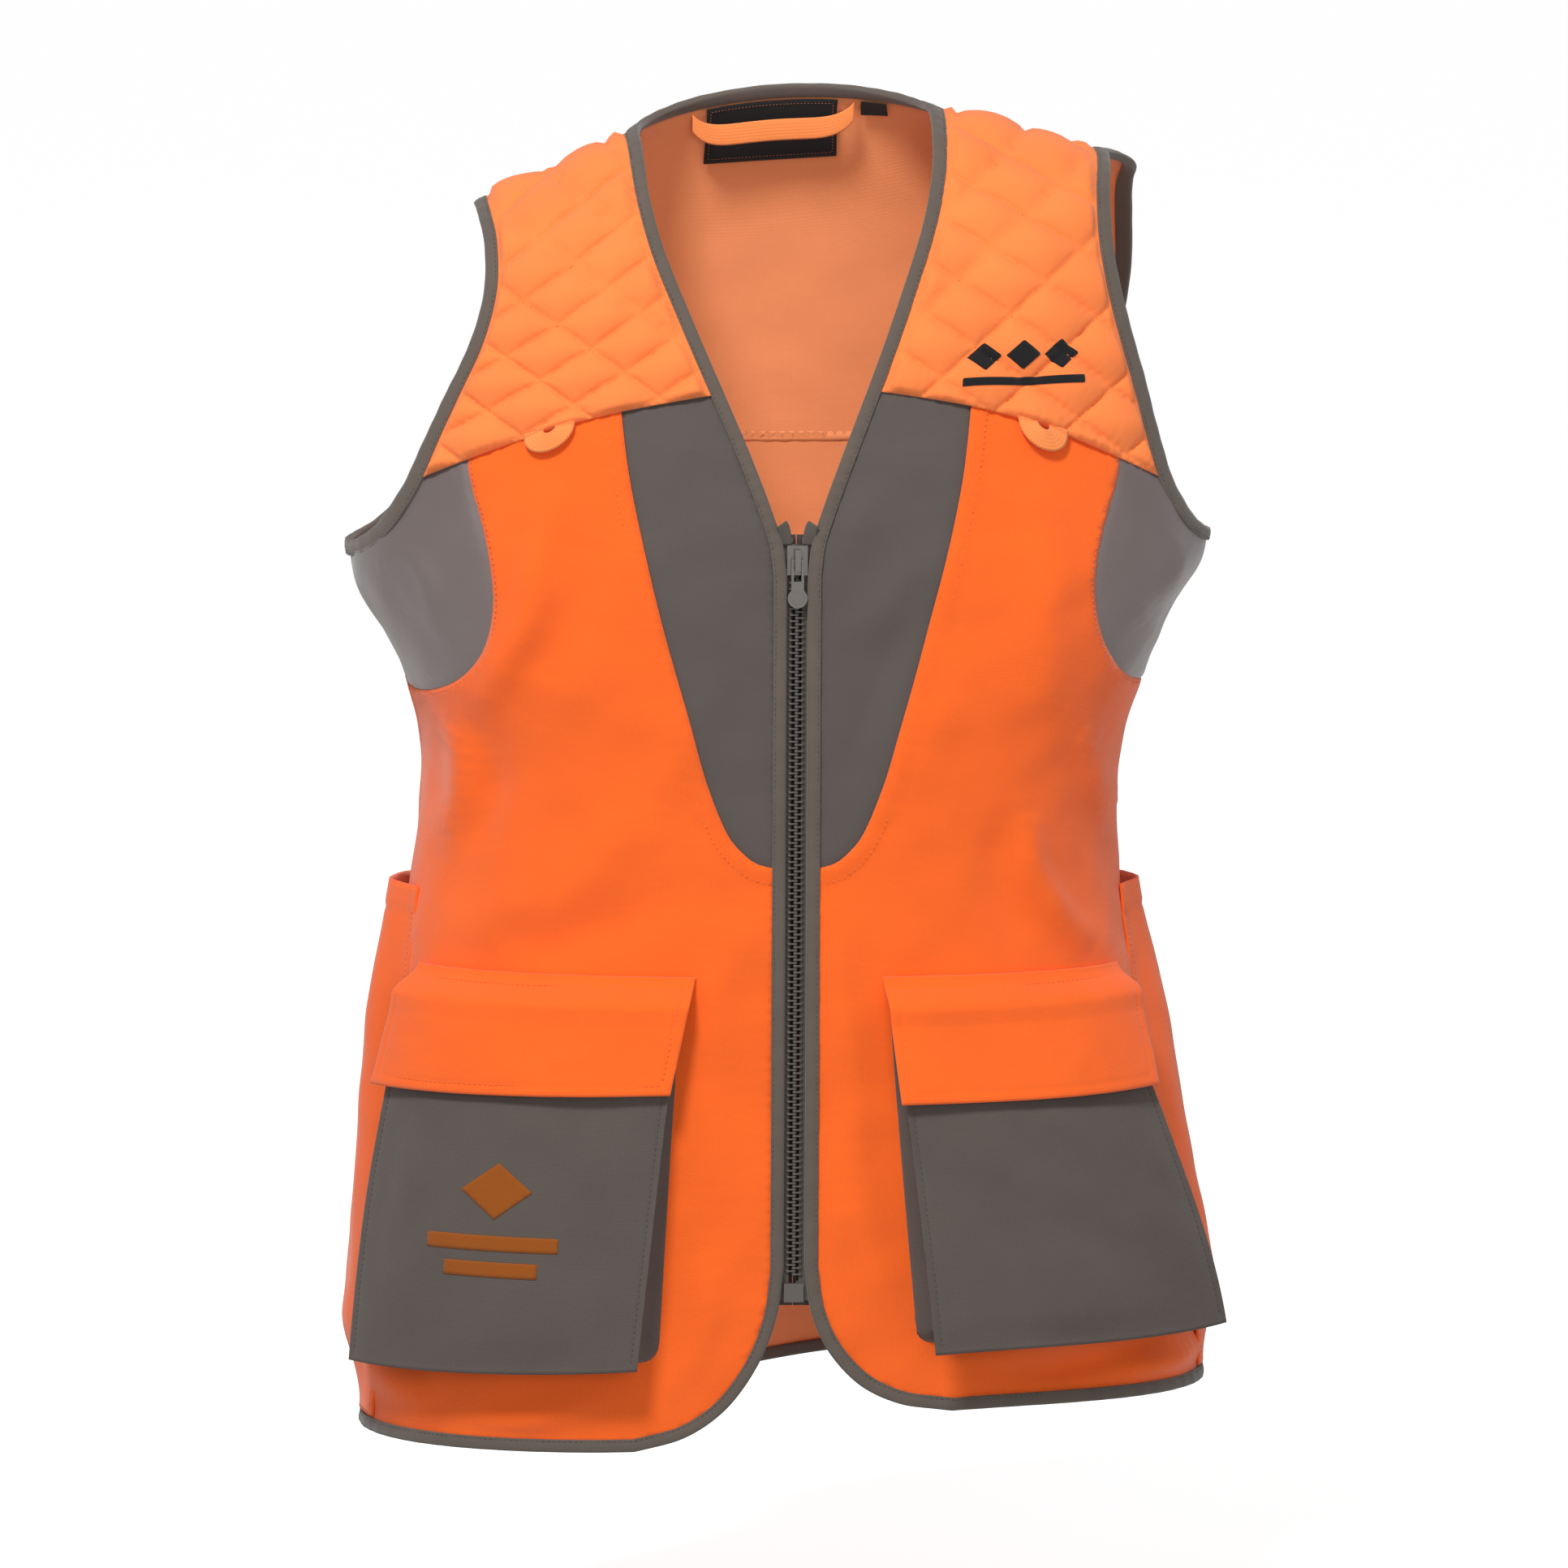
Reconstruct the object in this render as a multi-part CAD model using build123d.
from build123d import *
import os
from math import cos, exp, hypot, radians, sin, tanh

os.makedirs("parts", exist_ok=True)

# =============================================================================
# Upland field vest, women's cut, sleeveless, with a game bag open at its top.
# Units are mm.  +X is the wearer's left, the front faces -Y, +Z is up, and the
# origin is the point midway between the shoulders that the vest hangs from.
# =============================================================================

# ---- Driving dimensions ------------------------------------------------------
CLOTH = 2.0                     # shell cloth together with its facing
SEAM_GAP = 0.3                  # clear line between two panels at a seam
BIND_WIDTH = 6.5                # visible width of the edge binding
BIND_LIFT = 0.6                 # how far the binding stands proud of the cloth
EDGE_X = 5.5                    # bound front edge, from the centre line
LINING = (0.0, 1.0)             # yoke layers, inner and outer offset from the body
BATTING = (1.2, 3.4)
QUILT = (3.6, 5.0)

ZIP_TOP = -205.0                # ends of the toothed chain
ZIP_BOTTOM = -578.0
TOOTH_PITCH = 3.2
TOOTH_REACH = 4.2               # from the centre line to the back of a tooth
TOOTH_GAP = 0.6                 # from the centre line to the tip of a tooth
TOOTH_DEEP = 3.6
TAPE_Y = -113.5                 # outer face of the zip tape
TAPE_THICK = 0.9
TAPE_EDGE = 17.0

POCKET_TOP = -448.0
POCKET_MOUTH = 8.0              # depth of the gusset at the mouth
FACE_THICK = 1.6
GUSSET_THICK = 1.2
GUSSET_CORNER = 9.0
GUSSET_CLEAR = 0.5
FLAP_SEAM = -424.0
FLAP_DROP = 63.0
FLAP_THICK = 2.4
FLAP_CLEAR = 3.2                # room between the pocket face and the flap for both tapes
TAPE_PAD = 1.1                  # thickness of a hook or loop tape

# distances round the body from the front centre: side edges of the pocket at its
# mouth and at its foot, inner edge of its face at the same heights, and side edges
# of the flap at its seam and at its lip.  The foot and the lip rise toward the
# front centre, and the gusset is deepest at the foot.
POCKETS = {
    "right": {"side": -1, "mouth": (62, 214), "foot": (66, 216), "face": (64, 76),
              "seam": (54, 216), "lip": (64, 222), "drop": 168.0, "rise": 5.0, "deep": 22.0},
    "left": {"side": 1, "mouth": (52, 186), "foot": (60, 200), "face": (55, 64),
             "seam": (48, 202), "lip": (52, 190), "drop": 172.0, "rise": 0.0, "deep": 31.0},
}

# ---- Body that the vest is draped over ----------------------------------------
# height at the side, front and back; half width; depth in front and behind
RINGS = [
    (8, -45, 30, 64, 66, 54),
    (0, -60, 10, 80, 72, 64),
    (-10, -78, -16, 108, 80, 76),
    (-20, -96, -42, 137, 88, 86),
    (-31, -115, -68, 165, 95, 94),
    (-60, -140, -100, 187, 102, 101),
    (-120, -170, -148, 207, 109, 106),
    (-207, -214, -212, 219, 115, 108),
    (-247, -248, -247, 203, 115, 106),
    (-290, -291, -290, 184, 115, 102),
    (-335, -335, -335, 176, 115, 98),
    (-395, -395, -395, 182, 115, 101),
    (-470, -470, -470, 193, 115, 108),
    (-560, -560, -560, 205, 115, 114),
    (-640, -640, -640, 214, 115, 117),
    (-710, -710, -710, 219, 115, 118),
    (-780, -780, -780, 222, 115, 119),
]
SQUARENESS = 0.03
BUST = 15.0
BUST_Z = -262.0
SWING = 22.0                    # how far the shoulders behind swing to the wearer's left

# ---- Pattern lines, (outward, up), on either side of the centre ----------------
NECK_LINE = [(74, 14), (74, 0), (72, -27), (65.5, -55), (51, -94), (36, -131),
             (24, -160), (14, -186), (7.5, -206), (EDGE_X, -222)]
CORNER_LINE = [(EDGE_X, -572), (9, -596), (18, -618), (34, -638), (54, -650), (80, -656)]
HEM_Z = -656.0
NECK_RING = 0.62                # ring number of the neck edge behind
ARMHOLE_FRONT = [(232, -209), (219, -208), (206, -198), (193, -177), (176, -130),
                 (164, -96), (158, -68), (158, -45), (161, -28), (161, 20)]
ARMHOLE_BACK = [(232, -209), (219, -208), (203, -203), (187, -190), (174, -168), (167, -130),
                (162, -92), (159, -60), (158, -42), (161, -28), (161, 20)]
YOKE_SEAM = [(-30, -126), (10, -129), (40, -131), (88, -139), (115, -146),
             (140, -155), (164, -165), (193, -178.5), (250, -206)]
INSERT_SEAM = [(90, -112), (88, -139), (84, -172), (76, -211), (64, -258), (53, -297),
               (44, -328), (33, -354), (21, -366), (10, -369), (-30, -369)]
UNDERARM_FRONT = [(166, -150), (163, -175), (155, -204), (151.5, -232), (156, -257),
                  (169, -275), (188, -284), (250, -292)]
UNDERARM_BACK = [(170, -140), (175, -172), (175, -204), (174.5, -232), (178, -257),
                 (185, -275), (194, -284), (250, -292)]
BACK_YOKE_Z = -168.0
FAR = 420.0


# ---- Body surface ---------------------------------------------------------------
def ease(t):
    t = max(0.0, min(1.0, t))
    return t * t * (3.0 - 2.0 * t)


def warp(x, z, behind=0.0):
    """The hung vest sits a little askew: this moves a pattern point to its place.

    behind is 0 on the front and grows to 1 a little way behind the shoulder line."""
    swing = SWING * behind * ease((abs(x) - 80.0) / 75.0) * ease((z + 175.0) / 100.0)
    shoulder = 0.082 * ease((z + 175.0) / 125.0)
    underarm = 0.035 * exp(-(((z + 245.0) / 38.0) ** 2))
    skirt = 11.5 * tanh(x / 62.0) * ease((-470.0 - z) / 170.0)
    sway = 8.0 * ease((z + 200.0) / 160.0) - 7.0 * exp(-(((z + 385.0) / 95.0) ** 2))
    sway += 3.0 * ease((-520.0 - z) / 110.0)
    return x + swing + sway * (x / 190.0) ** 2, z + x * (shoulder + underarm) + skirt


def bends(values):
    """Second derivatives of the smooth curve through evenly spaced values."""
    last = len(values) - 1
    slopes, loads, curve = [0.0] * (last + 1), [0.0] * (last + 1), [0.0] * (last + 1)
    for i in range(1, last):
        pivot = 4.0 - slopes[i - 1]
        slopes[i] = 1.0 / pivot
        loads[i] = (6.0 * (values[i + 1] - 2 * values[i] + values[i - 1]) - loads[i - 1]) / pivot
    for i in range(last - 1, 0, -1):
        curve[i] = loads[i] - slopes[i] * curve[i + 1]
    return curve


RING_CURVES = [(values, bends(values)) for values in zip(*RINGS)]


def ring_at(v):
    """Ring values at a fractional ring number, on smooth curves through the rings."""
    i = max(0, min(len(RINGS) - 2, int(v)))
    t = v - i
    rest = 1.0 - t
    return [rest * values[i] + t * values[i + 1]
            + ((rest**3 - rest) * curve[i] + (t**3 - t) * curve[i + 1]) / 6.0
            for values, curve in RING_CURVES]


def pattern_point(theta, v):
    """Body point before the warp; theta is 0 at the front centre, 90 at the side."""
    z_side, z_front, z_back, wide, front, back = ring_at(v)
    c, s = cos(radians(theta)), sin(radians(theta))
    x = wide * (s + SQUARENESS * sin(radians(3 * theta))) / (1 - SQUARENESS)
    y = -(c - SQUARENESS * cos(radians(3 * theta))) / (1 - SQUARENESS)
    y *= front if c > 0 else back
    z = z_side + ((z_front if c > 0 else z_back) - z_side) * c * c
    if c > 0:
        swell = BUST * sin(radians(2 * theta)) ** 2 * exp(-(((z - BUST_Z) / 70.0) ** 2))
        x += 0.5 * swell * s
        y -= swell * c
    return x, y, z


def body_point(theta, v):
    x, y, z = pattern_point(theta, v)
    x, z = warp(x, z, ease(y / 40.0))
    return Vector(x, y, z)


def skin(theta, v, offset=0.0):
    """Point at a distance outside the body surface."""
    here = body_point(theta, v)
    if not offset:
        return here
    around = body_point(theta + 0.2, v) - body_point(theta - 0.2, v)
    down = body_point(theta, v + 0.01) - body_point(theta, v - 0.01)
    return here + down.cross(around).normalized() * offset


def find(x, z):
    """Angle and ring number of the front pattern point at an outward distance and a height."""
    theta, v = 40.0, 8.0
    for _ in range(30):
        px, _, pz = pattern_point(theta, v)
        ax, _, az = pattern_point(theta + 0.05, v)
        bx, _, bz = pattern_point(theta, v + 0.005)
        a, b = (ax - px) / 0.05, (bx - px) / 0.005
        c, d = (az - pz) / 0.05, (bz - pz) / 0.005
        det = a * d - b * c
        step_theta = (d * (x - px) - b * (z - pz)) / det
        step_v = (a * (z - pz) - c * (x - px)) / det
        theta = max(0.0, min(89.0, theta + max(-12.0, min(12.0, step_theta))))
        v = max(0.0, min(len(RINGS) - 1.0, v + max(-1.5, min(1.5, step_v))))
    return theta, v


def on_body(side, x, z, offset):
    """Point over a place on the chest given by its pattern position."""
    theta, v = find(x, z)
    return skin(side * theta, v, offset)


def ring_for(z):
    """Ring number of a height, below the armpits."""
    low, high = 8.0, len(RINGS) - 1.0
    for _ in range(30):
        middle = (low + high) / 2
        if ring_at(middle)[0] > z:
            low = middle
        else:
            high = middle
    return low


def arc_lengths(v):
    """Distance round the body from the front centre at every whole degree."""
    lengths = [0.0]
    for theta in range(1, 110):
        ax, ay, _ = pattern_point(theta - 1, v)
        bx, by, _ = pattern_point(theta, v)
        lengths.append(lengths[-1] + hypot(bx - ax, by - ay))
    return lengths


SKIRT_ARC = arc_lengths(12.8)


def round_body(side, distance, z, offset):
    """Point over the skirt of the vest at a distance round from the front centre."""
    degree = max(i for i, length in enumerate(SKIRT_ARC) if length <= distance)
    theta = degree + (distance - SKIRT_ARC[degree]) / (SKIRT_ARC[degree + 1] - SKIRT_ARC[degree])
    return skin(side * theta, ring_for(z), offset)


# ---- Building blocks --------------------------------------------------------------
def spread(start, stop, count):
    return [start + (stop - start) * i / (count - 1) for i in range(count)]


def plate(point, us, vs, inner, outer):
    """Closed solid between two offsets of a surface; point(u, v, offset) gives its shape."""
    skins = []
    for offset in (outer, inner):
        grid = [[Vector(point(u, v, offset)) for v in vs] for u in us]
        skins.append(Face.make_surface_from_array_of_points(grid, tol=0.01, min_deg=3, max_deg=3))
    rims = [Face.make_surface_from_curves(a, b) for a, b in zip(skins[0].edges(), skins[1].edges())]
    solid = Solid(Shell(skins + rims))
    if solid.volume < 0:
        solid = Solid(solid.wrapped.Reversed())
    return solid


def shifted(points, distance):
    """Move a pattern line sideways, to the left of its direction."""
    moved = []
    for i, (x, z) in enumerate(points):
        ax, az = points[max(0, i - 1)]
        bx, bz = points[min(len(points) - 1, i + 1)]
        length = hypot(bx - ax, bz - az)
        moved.append((x - (bz - az) / length * distance, z + (bx - ax) / length * distance))
    return moved


def laid(points, side, behind=False):
    """Pattern points in place on one side of the vest, on the plane y = 0."""
    places = [warp(side * x, z, ease((-27.0 - z) / 20.0) if behind else 0.0) for x, z in points]
    return [(x, 0, z) for x, z in places]


def region(side, curves, corners):
    """Flat face bounded by smooth curves joined end to end and then by straight corners."""
    edges = []
    last = None
    for points in curves:
        if last is not None:
            edges.append(Line(last, points[0]))
        edges.append(Spline(*points))
        last = points[-1]
    route = [last] + [(side * x, 0, z) for x, z in corners] + [curves[0][0]]
    edges += [Line(a, b) for a, b in zip(route, route[1:])]
    return Face(Wire([edge.edge() for edge in edges]))


def front_void(side, grow):
    """Everything inside the neck and front edge and below the hem."""
    neck = laid(shifted(NECK_LINE, grow), side)
    corner = laid(shifted(CORNER_LINE, grow), side)
    hem = laid([(110, HEM_Z + grow), (160, HEM_Z + grow), (215, HEM_Z + grow), (280, HEM_Z + grow)], side)
    return region(side, [neck, corner, hem], [(280, -900), (-60, -900), (-60, 80), (74 + grow, 80)])


def arm_void(side, behind, grow):
    """Everything outside the armhole edge, on the front or behind."""
    line = laid(shifted(ARMHOLE_BACK if behind else ARMHOLE_FRONT, grow), side, behind)
    return region(side, [line], [(330, 80), (330, -209 - grow)])


def above_seam(side, line, grow, corners, behind=False):
    return region(side, [laid(shifted(line, grow), side, behind)], corners)


def flat_box(x0, x1, z0, z1):
    route = [(x0, 0, z0), (x1, 0, z0), (x1, 0, z1), (x0, 0, z1)]
    return Face(Wire([Line(a, b).edge() for a, b in zip(route, route[1:] + route[:1])]))


def field(side):
    """A rectangle that covers one side of the vest."""
    return flat_box(-60, 300, -740, 120) if side > 0 else flat_box(-300, 60, -740, 120)


def less(face, *others):
    """Cut regions away from a flat face and keep its largest part."""
    for other in others:
        face = max((face - other).faces(), key=lambda part: part.area)
    return face


def common(face, other):
    return max((face & other).faces(), key=lambda part: part.area)


def slab(face, front, gap=SEAM_GAP / 2):
    """Extrude a flat region through the front or the back of the vest."""
    start, far = (-gap, -FAR) if front else (gap, FAR)
    return extrude(Pos(0, start, 0) * face, amount=abs(far - start), dir=(0, -1 if front else 1, 0))


def trim(shell, *slabs):
    """Keep the part of a shell that lies inside the slabs."""
    tool = slabs[0] if len(slabs) == 1 else slabs[0] + slabs[1]
    return max((shell & tool).solids(), key=lambda solid: solid.volume)


def save(name, shape):
    shape.label = name
    export_step(shape, f"parts/{name}.step")
    print(f"{name}: {shape.volume:.0f} mm3, valid {shape.is_valid}", flush=True)


# ---- Shells and seam regions -------------------------------------------------------
BOUND = BIND_WIDTH + SEAM_GAP
HALF_GAP = SEAM_GAP / 2


def front_shell(side, inner, outer):
    return plate(lambda theta, v, offset: skin(side * theta, v, offset),
                 spread(0, 106, 20), spread(0, 15, 31), inner, outer)


def side_shell(side, inner, outer):
    return plate(lambda theta, v, offset: skin(side * theta, v, offset),
                 spread(28, 152, 22), spread(0, 10.5, 22), inner, outer)


def below_neck(theta, distance):
    """Ring number at a distance below the neck edge, behind."""
    step = body_point(theta, NECK_RING + 0.2) - body_point(theta, NECK_RING)
    return NECK_RING + 0.2 * distance / step.length


def back_shell(inner, outer, band, rows=31):
    """Back of the vest from a distance below the neck edge down."""
    def point(theta, t, offset):
        top = below_neck(theta, band)
        return skin(theta, top + (15 - top) * t, offset)
    return plate(point, spread(76, 284, 37), spread(0, 1, rows), inner, outer)


def yoke_region(side, grow):
    return above_seam(side, YOKE_SEAM, grow, [(250, 80), (-30, 80)])


def insert_region(side, grow):
    return above_seam(side, INSERT_SEAM, grow, [(-30, -112)])


def underarm_region(side, behind, grow):
    line = UNDERARM_BACK if behind else UNDERARM_FRONT
    return above_seam(side, line, grow, [(250, -140)], behind)


def hem_void(grow):
    """Everything below the hem, behind."""
    places = [warp(x, HEM_Z + grow) for x in (280, 200, 140, 70, 0, -70, -140, -200, -280)]
    line = [(x, 0, z) for x, z in places]
    route = [line[-1], (-280, 0, -900), (280, 0, -900), line[0]]
    edges = [Spline(*line).edge()] + [Line(a, b).edge() for a, b in zip(route, route[1:])]
    return Face(Wire(edges))


def back_field():
    """Back of the vest inside its hem and armhole bindings."""
    face = less(flat_box(-300, 300, -740, 120), hem_void(BOUND))
    return less(face, arm_void(1, True, BOUND), arm_void(-1, True, BOUND))


def front_field(side):
    """One side of the front inside its bindings."""
    return less(field(side), front_void(side, BOUND), arm_void(side, False, BOUND))


# ---- Cloth panels -------------------------------------------------------------------
def build_front(side, name):
    cloth = front_shell(side, 0, CLOTH)
    inside = front_field(side)
    body = less(inside, yoke_region(side, -HALF_GAP), insert_region(side, HALF_GAP),
                underarm_region(side, False, -HALF_GAP))
    save(f"front_panel_{name}", trim(cloth, slab(body, True)))
    bib = less(common(inside, insert_region(side, -HALF_GAP)), yoke_region(side, -HALF_GAP))
    save(f"front_insert_{name}", trim(cloth, slab(bib, True)))


def build_yoke(side, name):
    yoke = slab(common(front_field(side), yoke_region(side, HALF_GAP)), True)
    layers = {"yoke_lining": LINING, "yoke_batting": BATTING, "yoke_quilt": QUILT}
    for layer, (inner, outer) in layers.items():
        save(f"{layer}_{name}", trim(front_shell(side, inner, outer), yoke))


def build_underarm(side, name):
    front = less(common(front_field(side), underarm_region(side, False, HALF_GAP)),
                 yoke_region(side, -HALF_GAP))
    behind = less(common(field(side), underarm_region(side, True, HALF_GAP)),
                  arm_void(side, True, BOUND))
    cloth = side_shell(side, 0, CLOTH)
    save(f"underarm_panel_{name}", trim(cloth, slab(front, True, 0), slab(behind, False, 0)))


def build_back():
    cloth = back_shell(0, CLOTH, BOUND)
    inside = back_field()
    lower = less(inside, flat_box(-300, 300, BACK_YOKE_Z - HALF_GAP, 130))
    for side in (-1, 1):
        lower = less(lower, underarm_region(side, True, -HALF_GAP))
    save("back_panel", trim(cloth, slab(lower, False)))
    upper = less(inside, flat_box(-300, 300, -760, BACK_YOKE_Z + HALF_GAP))
    save("back_yoke", trim(back_shell(0, CLOTH, BOUND, 21), slab(upper, False)))


# ---- Edge bindings --------------------------------------------------------------------
BIND = (-0.4, CLOTH + BIND_LIFT)


def build_front_binding(side, name):
    band = less(front_void(side, BIND_WIDTH), front_void(side, 0))
    save(f"front_binding_{name}", trim(front_shell(side, *BIND), slab(band, True)))


def build_back_bindings():
    neck = plate(lambda theta, band, offset: skin(theta, below_neck(theta, band), offset),
                 spread(90.2, 269.8, 29), spread(0, BIND_WIDTH, 4), *BIND)
    save("neck_binding_back", neck)
    hem = less(hem_void(BIND_WIDTH), hem_void(0))
    save("hem_binding_back", trim(back_shell(*BIND, BOUND), slab(hem, False)))


def build_armhole_binding(side, name):
    bands = [slab(less(arm_void(side, behind, BIND_WIDTH), arm_void(side, behind, 0)), not behind, 0)
             for behind in (False, True)]
    save(f"armhole_binding_{name}", trim(side_shell(side, *BIND), *bands))


# ---- Game bag ---------------------------------------------------------------------------
BAG_EDGE = 76.0                 # angle of the bag's front edge
BAG_TOP = -387.0
BAG_FOOT = -648.0
BAG_SIDE, BAG_BACK = 12.0, 22.0
BAG_CLOTH = 1.6
BAG_CLEAR = 0.7


def bag_lift(theta, z):
    """How far the bag stands off the back: closed at its sides and foot, open at the top."""
    inward = min(theta - BAG_EDGE, 360 - BAG_EDGE - theta)
    swell = BAG_SIDE * ease(inward / 14.0) + BAG_BACK * ease((inward - 18.0) / 70.0)
    return swell * ease((z - BAG_FOOT) / 48.0) * (1.0 - 0.35 * ease((z + 470.0) / 90.0))


def build_game_bag():
    def point(theta, z, offset):
        return skin(theta, ring_for(z), CLOTH + BAG_CLEAR + bag_lift(theta, z) + offset)
    save("game_bag", plate(point, spread(BAG_EDGE, 360 - BAG_EDGE, 53), spread(BAG_TOP, BAG_FOOT, 53),
                           0, BAG_CLOTH))


# ---- Cargo pockets ------------------------------------------------------------------------
def between(start, stop, t):
    return start + (stop - start) * t


def pocket_depth(pocket, z):
    w = max(0.0, min(1.0, (POCKET_TOP - z) / pocket["drop"]))
    return between(POCKET_MOUTH, pocket["deep"], sin(radians(90 * w)))


def pocket_corner(pocket, outer, w):
    """Distance round the body and height of a side edge of the pocket, w of the way down."""
    distance = between(pocket["mouth"][outer], pocket["foot"][outer], w)
    return distance, POCKET_TOP - w * (pocket["drop"] - (0.0 if outer else pocket["rise"]))


def face_point(pocket, u, w, offset, margin=1.5):
    """u runs from the inner edge of the pocket face to the outer one, w from its mouth down."""
    outer, outer_z = pocket_corner(pocket, True, w)
    _, inner_z = pocket_corner(pocket, False, w)
    distance = between(between(*pocket["face"], w) - margin, outer + margin, u)
    z = between(inner_z, outer_z, u)
    lift = CLOTH + SEAM_GAP + pocket_depth(pocket, z)
    return round_body(pocket["side"], distance, z, lift + offset)


def build_pocket_face(pocket, name):
    face = plate(lambda u, w, offset: face_point(pocket, u, w, offset),
                 spread(0, 1, 13), spread(0, 1.009, 17), 0, FACE_THICK)
    save(f"pocket_face_{name}", face)


def gusset_route(pocket):
    """Line on the body that the gusset is sewn along: down, round and up again."""
    tops = [(*pocket_corner(pocket, outer, 0.0), 0) for outer in (False, True)]
    feet = [(*pocket_corner(pocket, outer, 1.0), 0) for outer in (False, True)]
    line = Polyline(tops[0], feet[0], feet[1], tops[1])
    corners = [vertex for vertex in line.vertices() if vertex.Y < POCKET_TOP - 1]
    wire = Wire(line.edges()).fillet_2d(GUSSET_CORNER, corners)
    return [(wire.position_at(t), wire.tangent_at(t)) for t in spread(0, 1, 61)]


def gusset_lean(pocket, distance, z):
    """How far the gusset leans away from the front centre to meet the face."""
    w = (POCKET_TOP - z) / pocket["drop"]
    inner, outer = (pocket_corner(pocket, edge, w)[0] for edge in (False, True))
    return (between(*pocket["face"], w) - inner) * (outer - distance) / (outer - inner)


def build_gusset(pocket, name):
    route = gusset_route(pocket)

    def point(i, rise, offset):
        place, heading = route[int(i)]
        depth = pocket_depth(pocket, place.Y) - GUSSET_CLEAR
        lean = rise * gusset_lean(pocket, place.X, place.Y)
        return round_body(pocket["side"], place.X + lean - heading.Y * offset,
                          place.Y + heading.X * offset, CLOTH + GUSSET_CLEAR + depth * rise)
    gusset = plate(point, range(len(route)), spread(0, 1, 5), -GUSSET_THICK / 2, GUSSET_THICK / 2)
    save(f"pocket_gusset_{name}", gusset)


def flap_point(pocket, u, fall, offset):
    """u runs from the inner edge of the flap to the outer one, fall from its seam to its lip."""
    inner, outer = (between(pocket["seam"][edge], pocket["lip"][edge], fall) for edge in (False, True))
    drop = FLAP_DROP - pocket["rise"] * (1 - u)
    z = FLAP_SEAM - fall * drop
    lift = (pocket_depth(pocket, z) + FACE_THICK + FLAP_CLEAR) * ease(fall * FLAP_DROP / 17.0)
    return round_body(pocket["side"], between(inner, outer, u), z, CLOTH + SEAM_GAP + lift + offset)


def build_flap(pocket, name):
    flap = plate(lambda u, fall, offset: flap_point(pocket, u, fall, offset),
                 spread(0, 1, 15), spread(0, 1, 31), 0, FLAP_THICK)
    save(f"pocket_flap_{name}", flap)


PAD_U = (0.3, 0.7)              # the tapes, as a share of the width of the face and flap
PAD_W = (0.054, 0.173)          # the loop tape, as a share of the way down the face
PAD_FALL = (0.54, 0.86)         # the hook tape, as a share of the way down the flap


def build_pads(pocket, name):
    """Loop tape on the pocket and hook tape under the flap, face to face."""
    us, low = spread(*PAD_U, 7), FACE_THICK + 0.2
    loop = plate(lambda u, w, offset: face_point(pocket, u, w, offset),
                 us, spread(*PAD_W, 5), low, low + TAPE_PAD)
    save(f"loop_tape_{name}", loop)
    hook = plate(lambda u, fall, offset: flap_point(pocket, u, fall, offset),
                 us, spread(*PAD_FALL, 5), -0.2 - TAPE_PAD, -0.2)
    save(f"hook_tape_{name}", hook)


# ---- Zip ---------------------------------------------------------------------------------
TOOTH_Y = TAPE_Y + TAPE_THICK / 2
TAPE_LENGTH = (ZIP_TOP + 2.0, ZIP_BOTTOM - 11.0)
SLIDER_TOP = -206.0
SLIDER_LONG = 15.0
SLIDER_WIDE = 10.4
PLATE = 1.4
RUN = 0.3                       # running clearance of the slider
SLIDER_FRONT = TOOTH_Y - TOOTH_DEEP / 2 - RUN - PLATE
CROWN_ROOM = 2.6
HINGE = (SLIDER_FRONT - CROWN_ROOM / 2, -213.5)        # y and z of the pull's axis
PULL_THICK = 1.6


def block(x0, x1, y0, y1, z0, z1):
    centre = ((x0 + x1) / 2, (y0 + y1) / 2, (z0 + z1) / 2)
    return Pos(*centre) * Box(abs(x1 - x0), abs(y1 - y0), abs(z1 - z0))


def build_tape(side, name):
    x0, x1 = side * 2.6, side * TAPE_EDGE
    save(f"zipper_tape_{name}", block(x0, x1, TAPE_Y, TAPE_Y + TAPE_THICK, *TAPE_LENGTH))


def tooth_row(side, y0, y1):
    """Comb outline of one row of teeth with its bead, pushed through from y0 to y1."""
    count = int((ZIP_TOP - ZIP_BOTTOM) / TOOTH_PITCH)
    back, root, tip = side * TOOTH_REACH, side * (TOOTH_GAP + 1.3), side * TOOTH_GAP
    start = ZIP_TOP - (0.0 if side < 0 else TOOTH_PITCH / 2)
    end = start - (count - 1) * TOOTH_PITCH
    points = [(back, start)]
    for i in range(count - 1):
        z = start - i * TOOTH_PITCH
        points += [(root, z), (tip, z - 0.35), (tip, z - 1.45), (root, z - 1.8)]
    points += [(root, end), (back, end)]
    route = [(x, y0, z) for x, z in points]
    outline = Face(Wire([Line(a, b).edge() for a, b in zip(route, route[1:] + route[:1])]))
    return extrude(outline, amount=abs(y1 - y0), dir=(0, 1, 0))


def build_teeth(side, name):
    row = tooth_row(side, TOOTH_Y - TOOTH_DEEP / 2, TOOTH_Y + TOOTH_DEEP / 2)
    slot = block(side * 2.4, side * 6.0, TAPE_Y - 0.1, TAPE_Y + TAPE_THICK + 0.1, -150, -650)
    save(f"zipper_teeth_{name}", row - slot)


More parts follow.
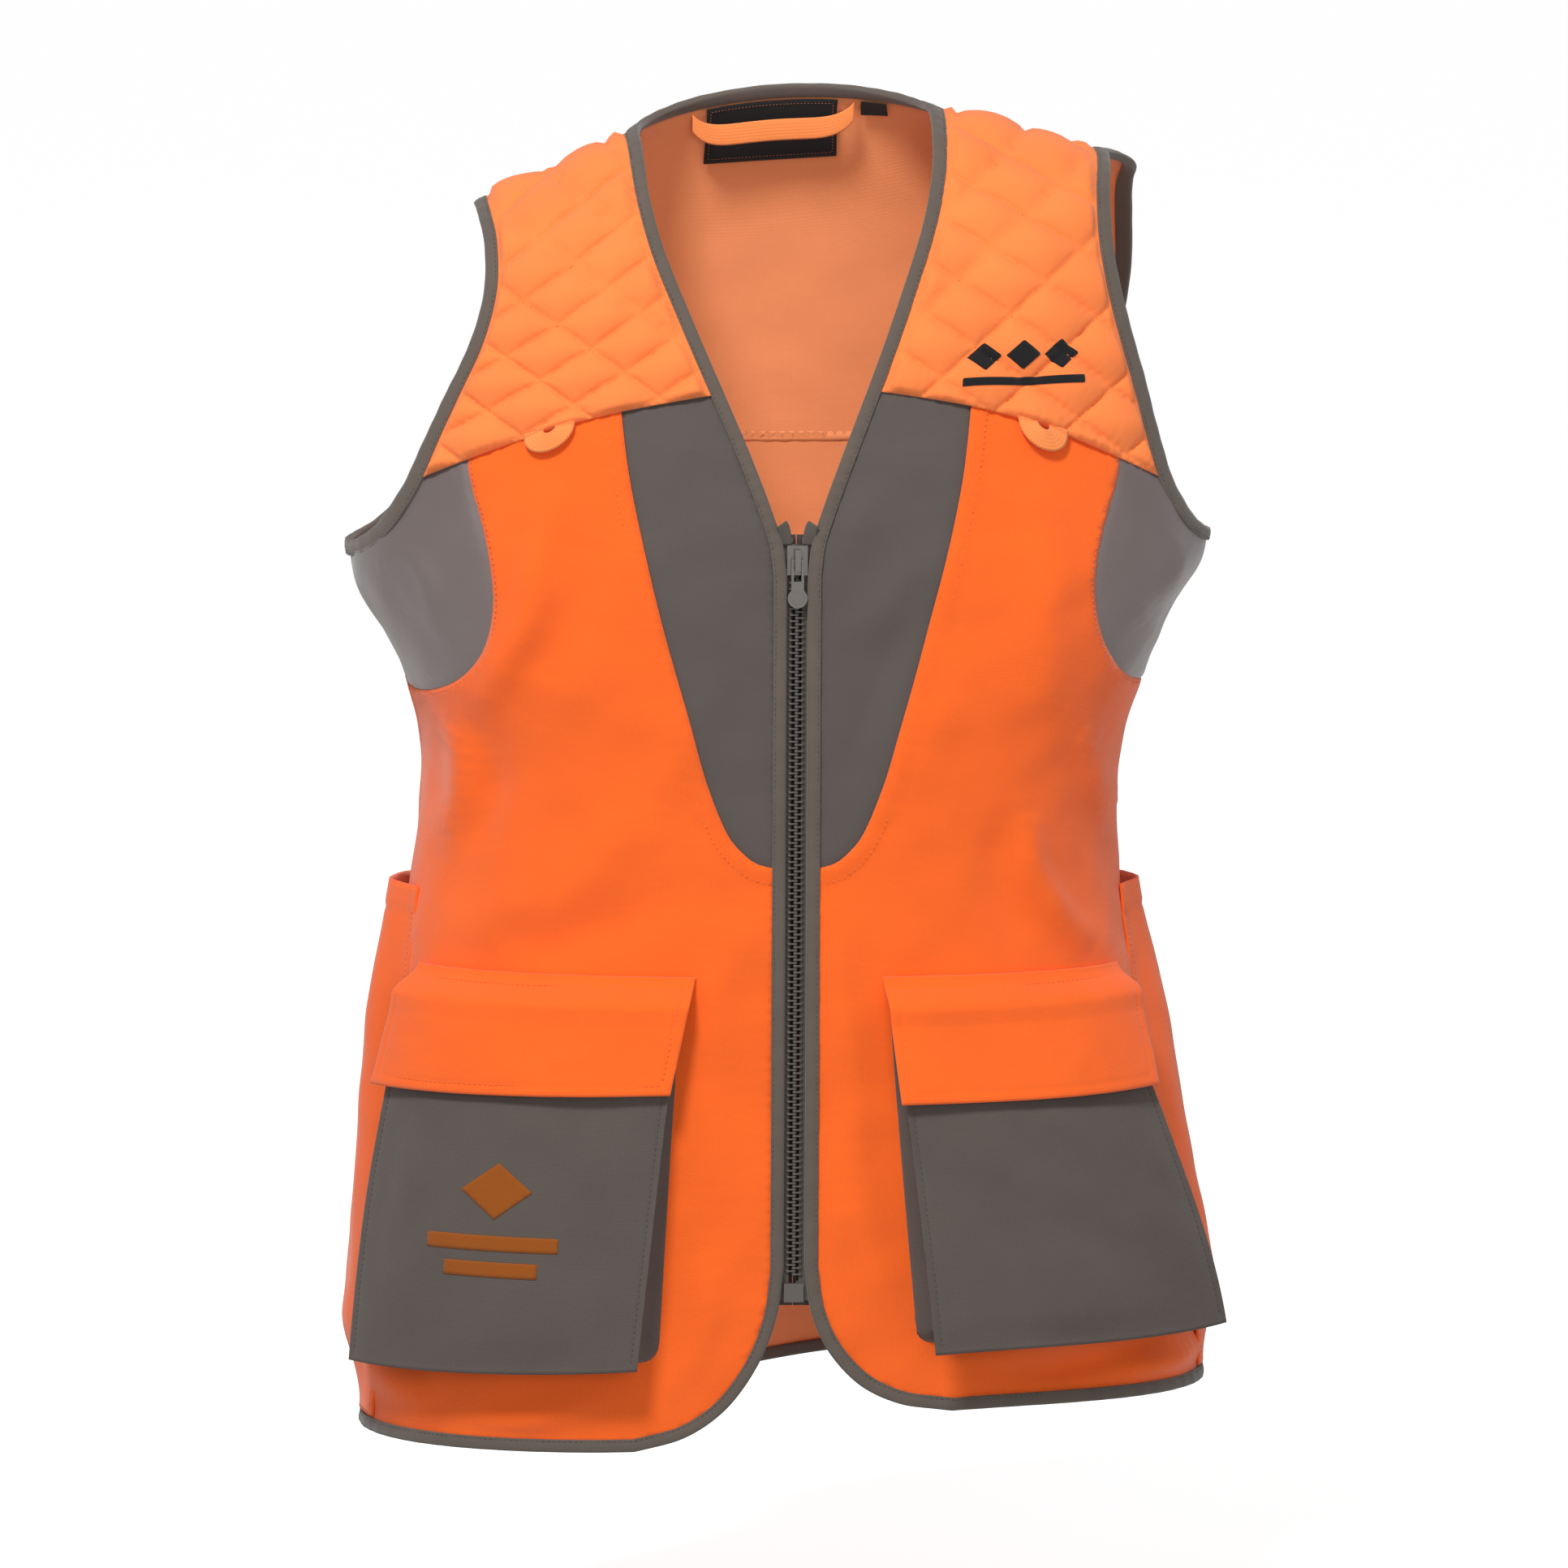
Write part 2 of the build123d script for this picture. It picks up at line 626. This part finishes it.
def build_zip_ends():
    low, high = TOOTH_Y - 1.6, TOOTH_Y + 1.6
    stops = [block(side * 2.4, side * 4.4, TAPE_Y - 1.6, TAPE_Y - 0.1, ZIP_TOP + 0.4, ZIP_TOP + 2.8)
             for side in (-1, 1)]
    save("zipper_top_stops", Compound(children=stops))
    foot = ZIP_BOTTOM - 2.0
    box = block(-5.0, 5.0, TAPE_Y - 2.4, TAPE_Y + TAPE_THICK + 1.6, foot, foot - 9.5)
    box -= block(-5.2, -1.6, TAPE_Y - 0.15, TAPE_Y + TAPE_THICK + 0.15, foot + 1, foot - 20)
    box -= block(1.0, 5.2, TAPE_Y - 1.2, TAPE_Y + TAPE_THICK + 1.0, foot + 1, foot - 20)
    save("zipper_retainer_box", box)
    pin = block(1.3, 2.3, low + 1.1, high - 1.1, foot + 1.0, foot - 9.0)
    save("zipper_insertion_pin", pin)


def build_slider():
    half = SLIDER_WIDE / 2
    z0, z1 = SLIDER_TOP, SLIDER_TOP - SLIDER_LONG
    tooth_front, tooth_back = TOOTH_Y - TOOTH_DEEP / 2 - RUN, TOOTH_Y + TOOTH_DEEP / 2 + RUN
    body = block(-half, half, tooth_front - PLATE, tooth_front, z0, z1)
    body += block(-half, half, tooth_back, tooth_back + PLATE, z0, z1)
    for side in (-1, 1):
        edge, rail = side * half, side * (TOOTH_REACH + RUN)
        body += block(rail, edge, tooth_front - 0.2, TAPE_Y - RUN, z0, z1)
        body += block(rail, edge, TAPE_Y + TAPE_THICK + RUN, tooth_back + 0.2, z0, z1)
    body += block(-0.35, 0.35, tooth_front - 0.2, tooth_back + 0.2, z0, z0 - 5.0)
    front = SLIDER_FRONT
    crown = block(-1.5, 1.5, front - CROWN_ROOM - 1.1, front, z0 - 2.0, z0 - 12.5)
    crown -= block(-2, 2, front - CROWN_ROOM, front, z0 - 3.6, z0 - 10.9)
    body += crown
    save("zipper_slider", body)


def build_pull():
    y, z = HINGE
    bar = Pos(0, y, z) * Rot(0, 90, 0) * Cylinder(0.8, 6.4)
    pull = bar
    for side in (-1, 1):
        pull += block(side * 1.9, side * 3.2, y - PULL_THICK / 2, y + PULL_THICK / 2, z + 0.8, z - 14.0)
    pull += block(-3.2, 3.2, y - PULL_THICK / 2, y + PULL_THICK / 2, z - 10.5, z - 16.0)
    eye = Pos(0, y, z - 19.0) * Rot(90, 0, 0) * Cylinder(5.0, PULL_THICK)
    dimple = Pos(0, y - PULL_THICK / 2, z - 19.0) * Rot(90, 0, 0) * Cylinder(3.4, 1.0)
    save("zipper_pull", pull + eye - dimple)


# ---- Loops and labels ------------------------------------------------------------------------
LOOP_X = (111.0, 136.0)         # where the ends of a chest loop are sewn
LOOP_BAND = 7.5
LOOP_DROP = 17.0
LOOP_THICK = 1.0


def chest_loop_point(side, t, across, offset):
    """t runs along the tape from one end to the other, across runs over its width."""
    middle, half = sum(LOOP_X) / 2, (LOOP_X[1] - LOOP_X[0]) / 2
    reach = half - LOOP_BAND * across
    drop = LOOP_DROP - LOOP_BAND * across
    angle = radians(180 * t)
    x = middle - reach * cos(angle)
    z = -149.0 - 0.34 * (x - middle) - 2.5 - (drop - 2.5) * sin(angle) ** 0.8
    return on_body(side, x, z, QUILT[1] + 0.8 + 2.0 * sin(angle) + offset)


def build_chest_loop(side, name):
    loop = plate(lambda t, across, offset: chest_loop_point(side, t, across, offset),
                 spread(0, 1, 25), spread(0, 1, 4), 0, LOOP_THICK)
    save(f"chest_loop_{name}", loop)


NECK_MM_PER_DEGREE = 1.42


def inside_back(x, drop, offset):
    """Point inside the back, at a distance round the neck and a drop below its edge."""
    theta = 180 - x / NECK_MM_PER_DEGREE
    return skin(theta, below_neck(theta, drop), -offset)


HANGER_HALF = 42.0
HANGER_TAPE = 11.0
HANGER_SAG = 9.0


def hanger_point(t, across, offset):
    """t runs from -1 to 1 along the hanger tape, which hangs plumb from under the binding."""
    start = inside_back(HANGER_HALF * t, BIND_WIDTH + 1.0, 1.8)
    drop = (1 - abs(t) ** 5) * HANGER_SAG + HANGER_TAPE * across * (1 - 0.2 * abs(t) ** 5)
    return start - Vector(0, 2.5 * (1 - t * t) + offset, drop)


LABEL_TOP = BIND_WIDTH + 0.7
NECK_LABEL = (0.7, 1.3)         # the two faces of the label, as distances inside the body
SIZE_LABEL = (2.7, 3.3)         # this one hangs a little clear of the cloth


def build_back_trim():
    save("hanger_loop", plate(hanger_point, spread(-1, 1, 33), spread(0, 1, 5), 0, 1.0))
    neck = plate(inside_back, spread(-33, 33, 13), spread(LABEL_TOP, LABEL_TOP + 23, 6), *NECK_LABEL)
    save("neck_label", neck)
    size = plate(inside_back, spread(46, 62, 5), spread(LABEL_TOP, LABEL_TOP + 8, 4), *SIZE_LABEL)
    save("size_label", size)


# ---- The whole vest ---------------------------------------------------------------------------
for side, name in ((-1, "right"), (1, "left")):
    pocket = POCKETS[name]
    build_front(side, name)
    build_yoke(side, name)
    build_underarm(side, name)
    build_front_binding(side, name)
    build_armhole_binding(side, name)
    build_pocket_face(pocket, name)
    build_gusset(pocket, name)
    build_flap(pocket, name)
    build_pads(pocket, name)
    build_tape(side, name)
    build_teeth(side, name)
    build_chest_loop(side, name)
build_back()
build_back_bindings()
build_game_bag()
build_zip_ends()
build_slider()
build_pull()
build_back_trim()
